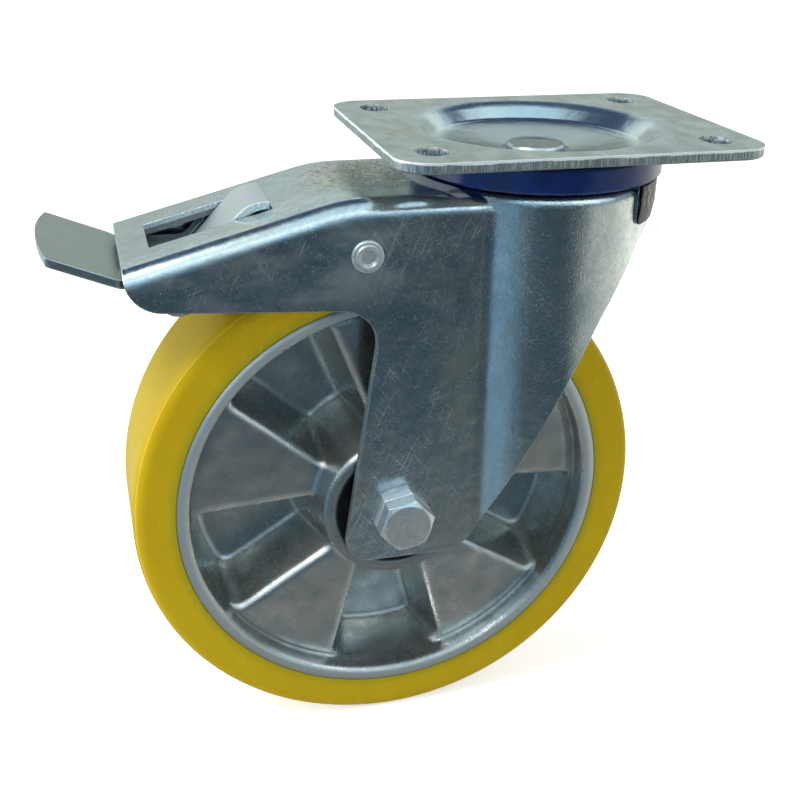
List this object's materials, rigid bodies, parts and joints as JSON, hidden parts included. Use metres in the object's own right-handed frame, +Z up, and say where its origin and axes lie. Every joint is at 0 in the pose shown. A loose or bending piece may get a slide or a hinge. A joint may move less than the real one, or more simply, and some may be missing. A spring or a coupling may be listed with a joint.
{
  "type": "swivel castor with total-stop brake",
  "caption": "Heavy swivel castor with a slotted top plate, pressed fork, cast wheel with a yellow tread and a see-saw foot brake.",
  "frame": {"origin": "where the swivel axis meets the top face of the plate, at the centre of the four slots", "axes": "+Z up along the swivel axis, out of the mounting face; +X towards the leading side, so the wheel trails towards -X; -Y is the side with the head of the axle bolt"},
  "size_m": [0.25, 0.11, 0.24],
  "materials": {
    "zinc_sheet": "bright zinc plating, mottled and scratched",
    "zinc_fastener": "zinc plated, slightly dull",
    "bearing_steel": "ground steel",
    "cast_aluminium": "as cast, turned rim face",
    "yellow_tread": "satin moulded polyurethane",
    "blue_seal": "satin moulded plastic",
    "dark_seal": "matt",
    "brake_facing": "matt",
    "spring_steel": "oiled"
  },
  "bodies": {
    "mounting": {"top_plate": "zinc_sheet", "king_pin": "zinc_fastener", "locking_ring": "zinc_fastener", "seal_ring": "blue_seal"},
    "upper_race": {"upper_balls": "bearing_steel"},
    "lower_race": {"lower_balls": "bearing_steel"},
    "swivel": {"fork": "zinc_sheet", "front_lug": "zinc_sheet", "pivot_rivets": "zinc_fastener", "pivot_washers": "zinc_fastener", "axle_bolt": "zinc_fastener", "axle_collar": "zinc_fastener", "axle_washer": "zinc_fastener", "axle_nut": "zinc_fastener", "axle_tube": "bearing_steel", "bearing_inner_rings": "bearing_steel", "return_spring": "spring_steel"},
    "wheel": {"wheel_centre": "cast_aluminium", "tread": "yellow_tread", "bearing_outer_rings": "bearing_steel", "bearing_seals": "dark_seal"},
    "wheel_races": {"bearing_balls": "bearing_steel"},
    "brake": {"brake_arm": "zinc_sheet", "brake_pad": "brake_facing", "pad_rivets": "zinc_fastener", "lock_blade": "spring_steel", "blade_rivets": "zinc_fastener", "pedal_pins": "zinc_fastener"},
    "foot_pedal": {"pedal": "zinc_sheet"}
  },
  "joints": [
    {"name": "swivel_turn", "type": "hinge", "parent": "mounting", "child": "swivel", "pos_m": [0, 0, -0.0158], "axis": [0, 0, 1], "continuous": true},
    {"name": "upper_ball_orbit", "type": "hinge", "parent": "mounting", "child": "upper_race", "pos_m": [0, 0, -0.013], "axis": [0, 0, 1], "continuous": true},
    {"name": "lower_ball_orbit", "type": "hinge", "parent": "mounting", "child": "lower_race", "pos_m": [0, 0, -0.02245], "axis": [0, 0, 1], "continuous": true},
    {"name": "wheel_spin", "type": "hinge", "parent": "swivel", "child": "wheel", "pos_m": [-0.059, 0, -0.14], "axis": [0, 1, 0], "continuous": true},
    {"name": "wheel_ball_orbit", "type": "hinge", "parent": "swivel", "child": "wheel_races", "pos_m": [-0.059, 0, -0.14], "axis": [0, 1, 0], "continuous": true},
    {"name": "brake_tilt", "type": "hinge", "parent": "swivel", "child": "brake", "pos_m": [-0.073, 0, -0.0364], "axis": [0, 1, 0], "range_deg": [-4.5, 0], "deforming": ["return_spring"]},
    {"name": "pedal_tilt", "type": "hinge", "parent": "brake", "child": "foot_pedal", "pos_m": [-0.138, 0, -0.0498], "axis": [0, 1, 0], "range_deg": [-12, 0]}
  ],
  "couplings": [
    {"joint": "upper_ball_orbit", "follows": "swivel_turn", "ratio": 0.5},
    {"joint": "lower_ball_orbit", "follows": "swivel_turn", "ratio": 0.5},
    {"joint": "wheel_ball_orbit", "follows": "wheel_spin", "ratio": 0.6185},
    {"joint": "brake_tilt", "follows": "pedal_tilt", "ratio": 0.375}
  ]
}
